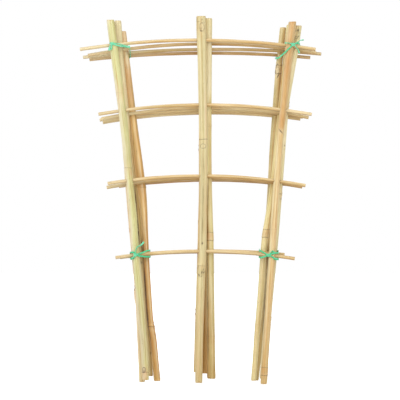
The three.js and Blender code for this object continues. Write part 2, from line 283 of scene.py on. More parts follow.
def cane_at(cane, height, what="x"):
    """A cane's place across the fan at a height, or its radius there."""
    return np.interp(height, cane["z"], cane[what])


def bar_at(bar, x):
    """A bar's height at a place across the fan."""
    return np.polyval(bar["bow"], x)


def bar_slope(bar, x):
    """How steeply a bar rises at a place across the fan."""
    return 2 * bar["bow"][0] * x + bar["bow"][1]


def meeting(bar, cane):
    """The place across the fan where a bar runs through a cane."""
    return cane_at(cane, bar_at(bar, 0))


def surface(name, spots, faces, masks, grain):
    """A smoothly shaded mesh whose corners carry their masks, and their place in the grain."""
    mesh = bpy.data.meshes.new(name)
    mesh.from_pydata(spots, [], faces)
    mesh.shade_smooth()
    for key, values in masks.items():
        written = mesh.attributes.new(key, "FLOAT", "POINT")
        written.data.foreach_set("value", values.astype(np.float32).ravel())
    written = mesh.attributes.new("grain", "FLOAT_VECTOR", "POINT")
    written.data.foreach_set("vector", grain.astype(np.float32).ravel())
    return mesh


def quads(rows, columns, closed):
    """Faces of a grid that runs round in columns: each row joined to the next, and the last to the
    first if the grid is closed."""
    i, j = np.meshgrid(np.arange(columns), np.arange(rows if closed else rows - 1))
    beside, below = (i + 1) % columns, (j + 1) % rows * columns
    j = j * columns
    return np.stack([i + j, beside + j, beside + below, i + below], -1).reshape(-1, 4).tolist()


def closed_skin(name, grid, masks, grain):
    """A closed skin from a grid of points: columns run round it, rows along it, and the first and
    last rows close on their own mean points. Masks are numbers on the same grid."""
    rows, columns = grid.shape[:2]
    here = np.arange(columns)
    beside = (here + 1) % columns
    last = (rows - 1) * columns
    pole = np.full(columns, rows * columns)
    start = np.stack([beside, here, pole], -1)
    end = np.stack([here + last, beside + last, pole + 1], -1)

    def with_poles(values):
        poles = values[[0, -1]].mean(1)
        return np.concatenate([values.reshape(rows * columns, -1), poles.reshape(2, -1)])

    masks = {key: with_poles(values) for key, values in masks.items()}
    faces = quads(rows, columns, False) + start.tolist() + end.tolist()
    return surface(name, with_poles(grid), faces, masks, with_poles(grain))


def in_scene(name, data):
    """A new object in the scene, made from a mesh, a lamp or a camera."""
    made = bpy.data.objects.new(name, data)
    bpy.context.scene.collection.objects.link(made)
    return made


def dress(mesh, material, node):
    """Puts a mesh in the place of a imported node."""
    mesh.materials.append(material)
    piece = in_scene(mesh.name, mesh)
    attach(piece, "root")
    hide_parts(node)


def gathered(low, high, row, details=()):
    """Places for rows between two ends: evenly spaced, but gathered round each detail as far as its
    reach. The density of rows is summed along the piece, and places are read back at equal sums."""
    at = np.linspace(low, high, DENSITY_PLACES)
    density = np.full_like(at, 1 / row)
    for middle, reach in details:
        density = np.maximum(density, np.exp(-((at - middle) / reach) ** 6) / FINE_ROW)
    total = np.r_[0, np.cumsum((density[1:] + density[:-1]) / 2 * np.diff(at))]
    return np.interp(np.linspace(0, total[-1], int(total[-1]) + 2), total, at)


class Bark:
    """The bark of a cane on a grid of heights and of angles round it, which count from the front to
    the right: its girth, the relief that stands off it, and a mask for each tone."""

    def __init__(self, z, girth, rng):
        self.z = z
        self.girth = girth
        self.rng = rng
        self.angle = directions(CANE_COLUMNS)[None, :]
        self.share = z / FAN_HEIGHT
        self.masks = {key: np.zeros((z.size, CANE_COLUMNS)) for key in TONES}
        oval = rng.uniform(0.006, 0.016) * np.cos(2 * (self.angle - rng.uniform(0, 3.14)))
        waves = uneven(self.angle, z, (3, 4, 5, 7), (0.002, 0.006), 1.5, 0.35, rng)
        self.relief = girth * (oval + waves)

    def across(self, degrees):
        """Millimetres round the bark from the line at an angle."""
        return self.girth * turned(self.angle - np.radians(degrees)) / MM

    def above(self, share):
        """Millimetres above a height, which is given as a share of the fan's."""
        return (self.z - share * FAN_HEIGHT) / MM


# A node leans towards its bud, or else towards this angle, in degrees. A bud on a node lies this far
# above it, and has a half width and a half height.
NODE_LEAN = 150
NODE_BUD = (3.2, 1.9, 2.9)

# Kinds of node. The relief and the dark lines are bells along the cane: height or darkness, how far
# above the node, half width. The collar is a plateau between four heights above the node, with its
# strength last. All are in millimetres.
NODE_KINDS = {
    "ring": {
        "relief": [(0.30, 0, 3.0), (0.22, 1.6, 0.8), (0.12, -1.2, 0.9), (-0.22, 0, 0.32)],
        "lines": [(0.85, 0, 0.45)], "collar": (-7.5, -4.5, -0.5, 0.2, 0.4),
    },
    "double": {
        "relief": [(0.30, 0, 5.5), (0.16, 4.3, 0.7), (0.30, -4.0, 0.8), (-0.16, 4.9, 0.3), (-0.2, -5, 0.35)],
        "lines": [(0.75, 4.9, 0.4), (0.85, -5.0, 0.42)], "collar": (-5.2, -4.2, 4.2, 5.2, 0.3),
    },
    "faint": {
        "relief": [(0.20, 0, 3.0), (0.08, 1.1, 0.8), (-0.07, 0, 0.3)],
        "lines": [(0.5, 0, 0.36)], "collar": (-6.0, -3.0, -0.6, 0.3, 0.2),
    },
    "plain": {
        "relief": [(0.12, 0, 3.0), (0.03, 1.1, 0.8), (-0.03, 0, 0.3)],
        "lines": [(0.18, 0, 0.35)], "collar": (-6.0, -3.0, -0.6, 0.3, 0.0),
    },
}


def add_node(bark, height, kind, shift=0.0, bud=None):
    """A node, whose rings lie a shift above it, lean a little and waver round the cane. It may have a
    bud at an angle."""
    lean = np.radians(NODE_LEAN if bud is None else bud)
    tilt = 0.35 * np.cos(bark.angle - lean) + 0.12 * np.sin(3 * bark.angle + height * 900)
    lift = (bark.z - height) / MM - shift + tilt
    shape = NODE_KINDS[kind]
    *edges, strength = shape["collar"]
    collar = strength * plateau(edges, lift)
    bark.relief += bells(lift, shape["relief"]) * MM
    broken = 0.55 + 0.45 * np.sin(5 * bark.angle + height * 700) ** 2
    bark.masks["dark"] += 0.8 * bells(lift, shape["lines"]) * broken
    bark.masks["warm"] += 0.5 * collar + 0.2 * bell(lift / 10)
    bark.masks["pale"] += 0.5 * collar * bell((lift + 4) / 3)
    if bud is not None:
        above, half_width, half_height = NODE_BUD
        oval_bud(bark, bark.across(bud), lift - above, half_width, half_height, (1.0, 1.0, 0.4))


def oval_bud(bark, across, up, half_width, half_height, shades):
    """A bud's scar: a raised oval rim round a shallow dish with a pit. The distance from its middle,
    in half widths and half heights, is 1 on the rim. Shades are those of rim, pit and disc."""
    far = np.hypot(across / half_width, up / half_height)
    pit = bell(np.hypot(across / (0.42 * half_width), (up / half_height + 0.3) / 0.4))
    bark.relief += (0.34 * bell((far - 0.95) / 0.4) - 0.3 * pit) * MM
    bark.masks["dark"] += shades[0] * 0.75 * bell((far - 1) / 0.2) + shades[1] * 0.8 * pit
    bark.masks["pale"] += shades[2] * bell(far / 1.2)


def add_bud(bark, place, degrees, half_width, half_height, strength):
    """A bud's scar away from a node."""
    shades = strength * np.array([1.0, 0.4, 0.5])
    oval_bud(bark, bark.across(degrees), bark.above(place), half_width, half_height, shades)


def add_ring(bark, place, width, strength):
    """A fine dark line cut round the cane, which wavers a little."""
    lift = bark.above(place) + 0.4 * np.sin(2 * bark.angle + place * 90)
    bark.relief -= 0.08 * MM * strength * bell(lift / width)
    bark.masks["dark"] += strength * bell(lift / width) * (0.6 + 0.4 * np.sin(4 * bark.angle + 1) ** 2)


def add_groove(bark, foot, top, degrees, depth, width):
    """A groove along the cane, with painted shade in it: olive as strong as it is deep. It is a
    ridge, with less olive, if its depth is negative.
    """
    fade = plateau((foot - 0.004, foot + 0.02, top - 0.02, top + 0.004), bark.share)
    sunk = fade * bell(bark.across(degrees) / width)
    bark.relief -= depth * MM * sunk
    # Painted shade: olive in the groove, as strong as the groove is deep
    bark.masks["olive"] += 2.8 * depth * sunk


def add_streak(bark, foot, top, degrees, width, strength, tone, at_top=None):
    """A long streak of a tone, straight up the cane or slanting to another angle at its top."""
    fade = plateau((foot - 0.02, foot + 0.03, top - 0.03, top + 0.02), bark.share)
    if at_top is not None:
        degrees = degrees + (at_top - degrees) * np.clip((bark.share - foot) / (top - foot), 0, 1)
    broken = 0.8 + 0.2 * wander(bark.z, 0.05, bark.rng)
    aside = bark.across(degrees + 2 * wander(bark.z, 0.12, bark.rng))
    bark.masks[tone] += strength * fade * broken * bell(aside / width)


def add_scar(bark, place, degrees, length, width, lean, strength):
    """A dark dent with a raised edge, an oval that leans from the cane's line by some degrees."""
    up, aside = bark.above(place), bark.across(degrees)
    c, s = np.cos(np.radians(lean)), np.sin(np.radians(lean))
    far = np.hypot((c * up + s * aside) / length, (c * aside - s * up) / width)
    bark.relief += 0.12 * MM * bell((far - 1.5) / 0.5) - 0.22 * MM * bell(far)
    bark.masks["dark"] += strength * bell(far) ** 1.5


def add_stain(bark, place, degrees, length, width, strength, tone):
    """A soft oval stain of a tone."""
    bark.masks[tone] += strength * bell(np.hypot(bark.above(place) / length, bark.across(degrees) / width))


MARKS = {"buds": add_bud, "rings": add_ring, "grooves": add_groove, "streaks": add_streak,
         "scars": add_scar, "stains": add_stain}


def cane_rows(cane, threaded, buds):
    """Heights of a cane's rows, which lie closer at its nodes, holes, buds and ends."""
    low, high = cane["z"][[0, -1]]
    details = [(height, NODE_REACH) for height in cane["nodes"]]
    details += [(bar_at(bar, meeting(bar, cane)), HOLE_REACH) for bar in threaded]
    details += [(share * FAN_HEIGHT, BUD_REACH) for share, *_ in buds]
    details += [(low, END_REACH), (high, END_REACH)]
    return gathered(low + CUT_ROOM, high - CUT_ROOM, CANE_ROW, details)[:, None]


def cane_skin(cane, threaded, look, rng):
    """The bark of a cane. A point at an angle and a height stands off the cane's line by its girth,
    times an oval and a few slow waves round it, plus the relief of its nodes and marks. Then its
    holes are drilled and its ends sawn."""
    low, high = cane["z"][[0, -1]]
    z = cane_rows(cane, threaded, look.get("buds", ()))
    near_end = bell((z - low - CUT_ROOM) / MM) + bell((high - CUT_ROOM - z) / MM)
    bark = Bark(z, cane_at(cane, z, "radius") * (1 - END_ROUND * near_end), rng)
    for height, node in zip(cane["nodes"], look["nodes"]):
        add_node(bark, height, *node)
    for kind, add_mark in MARKS.items():
        for mark in look.get(kind, ()):
            add_mark(bark, *mark)
    masks, angle = bark.masks, bark.angle
    masks["warm"] += 0.3 * (bell((z - low) / 2 / MM) + bell((high - z) / 2 / MM))
    masks["tan"] += look.get("foot", 0.5) * step(0.42, 0.0, bark.share)
    radius = bark.girth + bark.relief
    line = cane_at(cane, z)
    grid = np.stack([line + radius * np.sin(angle), cane["y"] - radius * np.cos(angle), z + 0 * angle], -1)
    grid, socket = drill(grid, line, cane["y"], threaded)
    # The sockets' painted shade, dark and a little warm
    masks["dark"] += 0.85 * socket
    masks["warm"] += 0.4 * np.clip(socket, 0, 1)
    grid, masks = saw(grid, masks, z, line, cane["y"], rng)
    spin = angle + np.radians(look.get("turn", 0))
    second = 0.5 + 0.5 * np.sin(spin + 0.9 * wander(grid[..., 2], 0.30, rng))
    masks["second"] = np.clip(second + 0.15 * wander(grid[..., 2], 0.12, rng), 0, 1)
    line = np.pad(line[:, 0], len(CANE_FACE), "edge")
    grain = grid - np.stack([line, 0 * line + cane["y"], 0 * line], -1)[:, None]
    return grid, masks, grain + rng.uniform(-1, 1, 3) * 0.4


def drill(grid, line, depth, threaded):
    """Sinks a socket into the bark round each bar: a point nearer to the bar's axis than the hole's
    radius is pushed towards the cane's line, and points next to the radius are moved onto it. It also
    returns the sockets' painted shade: full inside a hole, and fading out round its rim."""
    socket = np.zeros(grid.shape[:2])
    for bar in threaded:
        x = np.interp(bar_at(bar, 0), grid[:, 0, 2], line[:, 0])
        axis = np.array([1, 0, bar_slope(bar, x)]) / np.hypot(1, bar_slope(bar, x))
        away = grid - np.array([x, bar["y"], bar_at(bar, x)])
        away = away - (away @ axis)[..., None] * axis
        far = np.linalg.norm(away, axis=-1)
        hole = bar["radius"] + HOLE_CLEARANCE
        rim_out = (far >= hole) & (far < hole + HOLE_RIM)
        rim_in = (far < hole) & (far > hole - HOLE_RIM)
        wanted = np.where(rim_out, hole + HOLE_EDGE, np.where(rim_in, hole - HOLE_EDGE, far))
        grid = grid + away * (wanted / np.maximum(far, 1e-6) - 1)[..., None]
        inside = (wanted < hole).astype(float)
        inward = np.stack([line - grid[..., 0], depth - grid[..., 1], 0 * grid[..., 2]], -1)
        inward /= np.maximum(np.linalg.norm(inward, axis=-1), 1e-6)[..., None]
        lip = HOLE_LIP * bell((wanted - hole) / LIP_FADE) * (1 - inside)
        grid = grid + inward * (HOLE_DEPTH * inside - lip)[..., None]
        # Painted shade round the rim, and full painted shade inside the hole
        shade = 0.3 * bell((wanted - hole) / SHADE_FADE) * (1 - inside)
        socket = np.maximum(socket, inside + shade)
    return grid, socket


def saw(grid, masks, z, line, depth, rng):
    """Closes both ends of a cane. The bark's last rows lean with a random slant of the cut, and rows
    of the sawn face go in from them, over a bevel and the wall and down into the hollow, which is
    darkened with painted shade."""
    slants = rng.uniform(-CUT_SLANT, CUT_SLANT, (2, 2))
    inward, beyond = CANE_FACE[:, :1], CANE_FACE[:, 1:]
    rough = SAW_MARKS * np.sin(11 * directions(CANE_COLUMNS) + 40 * inward) * (inward < 0.95)
    faces = []
    for row, sign, slant in ((0, -1, slants[0]), (-1, 1, slants[1])):
        middle = np.array([line[row, 0], depth, grid[row, :, 2].mean()])
        rim = grid[row] - middle
        tilt = rim[:, 0] * slant[0] + rim[:, 1] * slant[1]
        grid[..., 2] += bell((z - z[row]) / SLANT_FADE) * tilt
        faces.append(np.stack([middle[0] + inward * rim[:, 0], middle[1] + inward * rim[:, 1],
                               middle[2] + inward * tilt + sign * beyond * MM + rough], -1))
    grid = np.concatenate([faces[0][::-1], grid, faces[1]])
    # Painted shade down in the hollow, and the colour of the cut on the face
    caps = {"dark": 0.9 * step(0.36, 0.29, inward), "cut": step(0.99, 0.93, inward)}
    closed = {}
    for key, values in masks.items():
        cap = np.repeat(caps.get(key, 0 * inward), CANE_COLUMNS, 1)
        closed[key] = np.clip(np.concatenate([cap[::-1], values, cap]), 0, 1)
    return grid, closed


def bar_skin(layer, row, rng):
    """The skin of a bar. A point at an angle and a place along it stands off the bar's parabola,
    square to it, by its radius times slow waves round and along it. Its ends turn in over a small
    bevel to a flat, sawn face. Its masks carry painted shade near the canes and, dark and warm, on
    its underside, and a painted highlight along its upper front."""
    bar = bars[layer, row]
    bark_x = gathered(bar["left"] + CUT_BEVEL, bar["right"] - CUT_BEVEL, BAR_ROW)
    angle = directions(BAR_COLUMNS)[None, :]
    along = bark_x[:, None]
    waves = uneven(angle, along, (2, 3, 4, 5), (0.006, 0.018), 2.2, 0.2, rng)
    thick = bar["radius"] * (0.985 + waves + 0.018 * wander(along, 0.09, rng))
    wobble_z = BAR_WOBBLE * wander(bark_x, 0.12, rng)
    wobble_y = BAR_WOBBLE * wander(bark_x, 0.15, rng)
    inward, beyond = BAR_FACE.T
    x = np.r_[bark_x[0] - beyond[::-1] * MM, bark_x, bark_x[-1] + beyond * MM]
    scale = np.r_[inward[::-1], np.ones(len(bark_x)), inward][:, None]
    thick = np.pad(thick, ((len(BAR_FACE),) * 2, (0, 0)), "edge") * scale
    wobble_y, wobble_z = (np.interp(x, bark_x, wobble)[:, None] for wobble in (wobble_y, wobble_z))
    x = x[:, None]
    run = np.hypot(1, bar_slope(bar, x))
    rise = -thick * np.sin(angle)
    grid = np.stack([x - rise * bar_slope(bar, x) / run, bar["y"] + wobble_y - thick * np.cos(angle),
                     bar_at(bar, x) + wobble_z + rise / run], -1)
    own_posts = [meeting(bar, canes[layer, post]) for post in POSTS]
    # Painted light on the bar: painted shade beside each cane and, dark and warm, along the underside, and a
    # painted highlight along the upper front
    at_cane = sum(bell((x - post_x) / POST_SHADE) for post_x in own_posts)
    under = 0.5 + 0.5 * np.sin(angle + 0.3 * wander(x, 0.15, rng))
    second = 0.5 + 0.4 * wander(x + 0.02 * np.cos(angle), 0.11, rng) + 0.2 * np.cos(2 * angle)
    # Paler towards the left, with weaker painted underside shade there
    left_paling = step(*LEFT_PALING, x)
    shade = 0.2 * np.clip(at_cane, 0, 1) + 0.3 * step(0.8, 1.0, under) * (1 - 0.6 * left_paling)
    masks = {"cut": step(0.98, 0.92, scale) + 0 * angle, "dark": shade,
             "warm": 0.75 * step(0.72, 1.0, under) * (1 - 0.5 * left_paling),
             "pale": np.clip(0.45 * bell((under - 0.3) / 0.14) + 0.55 * left_paling, 0, 1),
             "second": np.clip(second, 0, 1)}
    if row == "bottom":
        masks["tan"] = 0.5 * plateau(DUSKY, x) + 0 * angle
    grain = np.stack([-np.cos(angle) * thick, -np.sin(angle) * thick, x + 0 * angle], -1)
    return grid, masks, grain + rng.uniform(-1, 1, 3) * 0.4


def put(tree, kind, settings=(), **inputs):
    """Adds a shader node, sets its settings and inputs, and links the inputs that are outputs."""
    made = tree.nodes.new("ShaderNode" + kind)
    for key, value in dict(settings).items():
        setattr(made, key, value)
    for key, value in inputs.items():
        socket = made.inputs[int(key[1:]) if key[0] == "i" and key[1:].isdigit() else key.replace("_", " ")]
        if isinstance(value, bpy.types.NodeSocket):
            tree.links.new(value, socket)
        else:
            socket.default_value = value
    return made.outputs


def cleared(block):
    """The shader tree of a new material or world, with nothing in it."""
    block.use_nodes = True
    block.node_tree.nodes.clear()
    return block.node_tree


def carried(tree, name, output="Fac"):
    """What the piece carries at its corners: a mask, or the place in its grain."""
    return put(tree, "Attribute", {"attribute_name": name})[output]


def blend(tree, share, first, second, kind="MIX"):
    """A colour between two, by a share, or one laid over the other as kind says."""
    return put(tree, "Mix", {"data_type": "RGBA", "blend_type": kind}, i0=share, i6=first, i7=second)[2]


def between(tree, share, first, second):
    """A number between two, by a share."""
    return put(tree, "Mix", {"data_type": "FLOAT"}, i0=share, i2=first, i3=second)[0]


def maths(tree, operation, first, second=0.0):
    """A sum, product or other combination of two numbers."""
    return put(tree, "Math", {"operation": operation}, i0=first, i1=second)[0]


def noise(tree, where, stretch, detail=2.0, roughness=0.5):
    """Noise that is stretched: stretch gives how many of its lumps lie in a metre on each axis."""
    scaled = put(tree, "VectorMath", {"operation": "MULTIPLY"}, i0=where, i1=stretch)[0]
    return put(tree, "TexNoise", Vector=scaled, Scale=1.0, Detail=detail, Roughness=roughness)[0]


def spread(tree, value, low, high, to_low=0.0, to_high=1.0):
    """A number brought from one range to another, smoothly and held at both ends."""
    return put(tree, "MapRange", {"interpolation_type": "SMOOTHSTEP"}, Value=value,
               From_Min=low, From_Max=high, To_Min=to_low, To_Max=to_high)[0]


def wood_finish(name, body, second, masks, streak_across, sheen, bold=1.0):
    """Bamboo: two body tones in long bands, the tones of the piece's masks over them, fine lengthwise
    fibres in the colour and the relief, and sparse brown flecks. The long lines are as strong as bold
    says."""
    material = bpy.data.materials.new(name)
    tree = cleared(material)
    where = carried(tree, "grain", "Vector")
    broad = noise(tree, where, (260, 260, 6))
    bands = noise(tree, where, (430, 430, 5))
    lines = noise(tree, where, (640, 640, 4), 1.0)
    fibres = noise(tree, where, (streak_across, streak_across, 15), 3.0, 0.6)
    hairs = noise(tree, where, (streak_across * 3.2, streak_across * 3.2, 50), 2.0, 0.6)
    patches = noise(tree, where, (70, 70, 30), 3.0)
    flecks = noise(tree, where, (900, 900, 420), 1.0)

    def lay(pattern, low, high, strength, tone, laid):
        """The tone, with another laid over it where the pattern rises from low to high."""
        return blend(tree, spread(tree, pattern, low, high, 0.0, strength), tone, laid)

    drift = maths(tree, "MULTIPLY", maths(tree, "SUBTRACT", broad, 0.5), 1.5)
    zone = maths(tree, "ADD", carried(tree, "second"), drift)
    tone = lay(zone, 0.1, 0.9, 1.0, colour(body), colour(second))
    tone = lay(bands, 0.52, 0.68, 0.5 * bold, tone, colour(TONES["warm"]))
    tone = lay(bands, 0.48, 0.34, 0.5 * bold, tone, colour(TONES["pale"]))
    tone = lay(lines, 0.60, 0.70, 0.6 * bold, tone, colour(TONES["olive"]))
    for key in ("tan", "warm", "rosy", "olive", "pale"):
        if key in masks:
            cover = maths(tree, "MULTIPLY", carried(tree, key), spread(tree, patches, 0.3, 0.6, 0.6, 1.0))
            tone = blend(tree, maths(tree, "MULTIPLY", cover, 0.85), tone, colour(TONES[key]))
    tone = lay(fibres, 0.5, 0.74, 0.8, tone, blend(tree, 1.0, tone, colour("#dabf95"), "MULTIPLY"))
    tone = lay(hairs, 0.5, 0.74, 0.6, tone, blend(tree, 0.3, tone, colour("#f6e8c4"), "SCREEN"))
    tone = lay(flecks, 0.735, 0.79, 0.45, tone, colour("#94683a"))
    cut_face = lay(hairs, 0.42, 0.62, 1.0, colour(TONES["cut"]), colour("#c09a63"))
    tone = blend(tree, carried(tree, "cut"), tone, cut_face)
    ragged = spread(tree, noise(tree, where, (1500, 1500, 900)), 0.2, 0.6, 0.6, 1.2)
    soot = maths(tree, "MULTIPLY", carried(tree, "dark"), ragged)
    tone = blend(tree, put(tree, "Clamp", Value=soot)[0], tone, colour(TONES["dark"]))

    rough = spread(tree, fibres, 0.3, 0.8, sheen, sheen + 0.22)
    height = maths(tree, "ADD", maths(tree, "MULTIPLY", fibres, 0.7), maths(tree, "MULTIPLY", hairs, 0.4))
    bump = put(tree, "Bump", Strength=0.4, Distance=0.00013, Height=height)["Normal"]
    shader = put(tree, "BsdfPrincipled", Base_Color=tone, Roughness=rough, Normal=bump,
                 Specular_IOR_Level=0.35)
    put(tree, "OutputMaterial", Surface=shader[0])
    return material


def ribbon_finish():
    """Glossy green plastic: two greens in long streaks, paler on the crests of the folds, a painted
    highlight, and deeper where a strand is drawn tight."""
    material = bpy.data.materials.new("green_ribbon")
    tree = cleared(material)
    streaks = noise(tree, carried(tree, "grain", "Vector"), (900, 900, 60), 3.0)
    tone = blend(tree, spread(tree, streaks, 0.3, 0.7), colour("#33c083"), colour("#70e6b2"))
    # Painted highlight on the crests of the folds
    tone = blend(tree, maths(tree, "MULTIPLY", carried(tree, "fold"), 0.5), tone, colour("#a6f2d2"))
    tone = blend(tree, carried(tree, "deep"), tone, colour("#02bf78"))
    bump = put(tree, "Bump", Strength=0.4, Distance=0.0001, Height=streaks)["Normal"]
    shader = put(tree, "BsdfPrincipled", Base_Color=tone, Roughness=0.28, Normal=bump,
                 Coat_Weight=0.3, Coat_Roughness=0.2)
    put(tree, "OutputMaterial", Surface=shader[0])
    return material


# Each cane's look. Body and second are its two tones, and turn says which way the second faces, in
# degrees. Bold is the strength of its long lines, and foot how far it darkens towards the ground.
# Its nodes, foot first, and its marks give what the function that adds them takes: heights are shares
# of the fan's, angles are degrees round the cane from its front to the right, and widths and lengths
# are half ones, in millimetres. Some streaks are painted light and some painted shade, as the
# comments at them say.
LOOKS = {}
LOOKS["front", "left"] = dict(
    slot="pale_cane", body="#f3eac6", second="#dcda9a", turn=25, bold=0.3, foot=0.15,
    nodes=[("ring", -3, -20), ("faint",), ("plain",)],
    grooves=[(0.06, 0.3, 36, 0.14, 0.5), (0.1, 0.34, -22, 0.1, 0.45), (0.3, 0.56, 42, 0.1, 0.5)],
    streaks=[
        (0.735, 0.85, -40, 0.5, 1, "warm", -14), (0.8, 0.97, -14, 0.7, 0.25, "rosy", -8),
        # Painted highlight: the pale streak at -64 degrees, up the left edge
        (0.36, 0.98, -64, 1.8, 0.5, "pale", -58), (0.88, 1.03, 10, 4, 0.1, "olive"),
        (0.57, 0.76, 12, 4.2, 0.42, "olive"), (0.03, 0.24, -14, 4.4, 0.34, "olive"),
        (0.24, 0.57, 12, 3.6, 0.22, "olive", 14), (0.05, 0.22, -62, 1, 0.5, "rosy", -56),
        (0.05, 0.33, -8, 0.4, 0.6, "olive", -6), (0.05, 0.4, 18, 0.4, 0.4, "olive", 20),
        # Painted light: the pale streak at 55 degrees, on the right side low down
        (0.3, 0.56, 12, 0.4, 0.5, "warm", 30), (0.05, 0.36, 55, 1.6, 0.6, "pale"),
    ],
    scars=[(0.5, -38, 1.2, 0.5, 20, 0.3), (0.432, 10, 1, 0.5, 10, 0.3)],
    stains=[
        (0.573, 40, 5, 2, 0.8, "rosy"), (0.03, -8, 7, 4.2, 0.7, "rosy"), (0.012, 10, 3, 1.6, 0.6, "warm"),
        (0.79, 25, 16, 2, 0.3, "rosy"),
    ],
)
LOOKS["front", "middle"] = dict(
    slot="straw_cane", body="#f2e4ae", second="#e0d3a0", turn=70, bold=0.7, foot=0.55,
    nodes=[("faint", 5), ("plain", -1), ("plain",)],
    buds=[(0.969, 8, 2.7, 5, 0.45), (0.646, -6, 3.2, 2.8, 0.5)],
    rings=[(0.6645, 0.35, 0.75), (0.983, 0.3, 0.4)],
    grooves=[
        (0.675, 0.945, 2, 0.25, 1.3), (0.4, 0.63, -17, 0.22, 0.45), (0.4, 0.63, 6, 0.22, 0.45),
        (0.02, 0.27, 18, 0.14, 0.8), (0.32, 0.4, 25, 0.14, 0.6),
    ],
    streaks=[
        (0.655, 0.8, 42, 1.5, 0.7, "rosy", 38), (0.37, 0.55, -9, 1, 0.42, "dark", -2),
        (0.4, 0.6, 12, 1.4, 0.5, "tan"), (0.56, 0.64, 0, 1.1, 0.25, "dark", -3),
        # Painted light: the pale streak at 60 degrees, low on the right side
        (0.69, 0.95, -6, 0.9, 0.4, "warm", 0), (0.03, 0.24, 60, 1.6, 0.5, "pale"),
        # Painted highlight: the pale streak at -66 degrees, up the left edge
        (0.34, 0.56, 62, 1.6, 0.6, "tan"), (0.35, 0.98, -66, 1.6, 0.55, "pale", -62),
        (0.02, 0.26, -20, 1.6, 0.6, "rosy"), (0.02, 0.3, 42, 0.9, 0.5, "warm", 45),
        (0.4, 0.62, 40, 1.2, 0.5, "rosy"), (0.63, 0.7, 2, 1.7, 0.45, "olive"),
    ],
    scars=[
        (0.3825, -6, 1.4, 1.1, 0, 1), (0.2965, -30, 2.3, 1, -30, 0.9), (0.304, 10, 2.2, 0.9, 15, 0.9),
        (0.3035, 40, 2, 1, 50, 0.9), (0.3115, 34, 1.6, 0.7, 0, 0.6), (0.316, -58, 3.6, 0.7, 8, 0.8),
        (0.2935, 8, 1.4, 0.6, 60, 0.7), (0.9885, 12, 0.9, 0.9, 0, 0.9), (0.9585, -5, 0.8, 1, 60, 0.8),
    ],
    stains=[(0.306, 0, 6, 6, 0.3, "olive")],
)
LOOKS["front", "right"] = dict(
    slot="tan_cane", body="#f1ddaa", second="#e2c88e", turn=20, bold=0.6,
    nodes=[("double", 0.3), ("plain",), ("plain",)],
    buds=[(0.178, 84, 1.3, 1.9, 1)],
    grooves=[(0.44, 0.66, -25, 0.1, 0.8), (0.7, 0.96, 30, 0.08, 0.8), (0.16, 0.3, -88, -0.4, 2.6)],
    streaks=[
        (0.69, 1.02, 0, 5, 0.95, "warm"), (0.69, 1.02, 178, 5, 0.95, "warm"),
        (0.69, 1.02, 10, 6, 0.45, "tan"), (0.84, 1.02, 0, 6, 0.3, "rosy"),
        # Painted highlight: the pale streak at -62 degrees, up the left edge of the top
        (0.69, 1.02, -62, 1.1, 0.4, "pale"), (0.7, 0.97, -32, 0.8, 0.6, "rosy", -28),
        (0.72, 0.95, 34, 1, 0.5, "rosy", 30), (0.38, 0.67, -6, 0.7, 0.5, "warm", -10),
        (0.02, 0.36, -18, 1, 0.8, "warm", -14), (0.02, 0.34, -50, 0.8, 0.5, "warm", -46),
        (0.1, 0.66, -34, 1, 0.6, "pale"), (0.06, 0.67, 38, 1.3, 0.5, "rosy"),
    ],
    scars=[(0.6859, 0, 4.6, 0.75, -45, 1), (0.178, 80, 1.2, 0.7, 0, 0.5)],
    stains=[(0.685, 0, 3, 6, 0.4, "pale")],
)
LOOKS["second", "left"] = dict(
    slot="pale_cane", body="#f6e8c4", second="#ecdfb0", turn=40, bold=0.6, foot=0.15,
    nodes=[("faint", 0, -85), ("faint", -4), ("plain",)],
    grooves=[(0.215, 0.265, -85, -1.3, 2.5)],
    streaks=[
        (0.02, 0.56, -60, 1.6, 0.6, "rosy"), (0.6, 0.97, 0, 1.4, 0.2, "rosy"),
        (0.84, 1.02, 20, 3.6, 0.2, "olive"),
    ],
    stains=[(0.4165, -60, 2.4, 1.1, 1, "warm"), (0.47, -66, 6, 1.2, 0.6, "warm")],
)
LOOKS["second", "middle"] = dict(
    slot="straw_cane", body="#f5e8b8", second="#ded08e", turn=10, foot=0.95,
    nodes=[("plain",), ("double", -0.5), ("plain",)],
    grooves=[(0.15, 0.36, 30, 0.14, 0.8)],
    streaks=[
        # Painted shade: the warm streaks at -34 and -40 degrees, on the left side beside the front cane
        (0.02, 0.4, -34, 1, 0.45, "warm", -30), (0.05, 0.97, 26, 0.9, 0.45, "pale", 30),
        (0.38, 0.58, -40, 2, 0.8, "warm", -20), (0.43, 0.64, 62, 1.3, 0.4, "rosy", 58),
        # Painted light: the broad pale streak at 30 degrees at the top
        (0.02, 0.36, -8, 1.6, 0.4, "olive"), (0.78, 1.03, 30, 6, 0.85, "pale"),
        # Painted shade: the dark streaks at -40 and -46 degrees, on the left side beside the front cane
        (0.02, 0.36, 40, 4, 0.3, "olive"), (0.38, 0.56, -40, 1.1, 0.5, "dark", 0),
        (0.06, 0.38, -46, 1.1, 0.6, "dark"),
    ],
    scars=[(0.7445, -8, 1.2, 0.7, 60, 0.5)],
    stains=[(0.402, 15, 4.6, 6, 0.55, "rosy"), (0.1, 35, 12, 1.6, 0.5, "warm")],
)
LOOKS["second", "right"] = dict(
    slot="straw_cane", body="#f6ebc2", second="#e8dca6", turn=-20,
    nodes=[("plain",), ("ring", 5), ("faint", 0, 84)],
    buds=[(0.949, -12, 3, 5.2, 0.5)],
    scars=[
        (0.648, 42, 1, 0.8, 0, 1), (0.638, 36, 0.7, 0.4, 0, 0.7), (0.636, 54, 0.8, 0.4, 0, 0.6),
        (0.961, 5, 1.9, 1, 15, 0.95), (0.9435, -20, 1.2, 0.8, -30, 0.8), (0.944, 22, 1, 0.6, 30, 0.7),
        (0.503, 56, 1.8, 1.1, 0, 0.85),
    ],
    # Painted highlight: the pale streak at 66 degrees, along the right side
    streaks=[(0.02, 0.96, 66, 1.4, 0.5, "pale"), (0.6, 0.95, 38, 0.7, 0.35, "warm")],
)
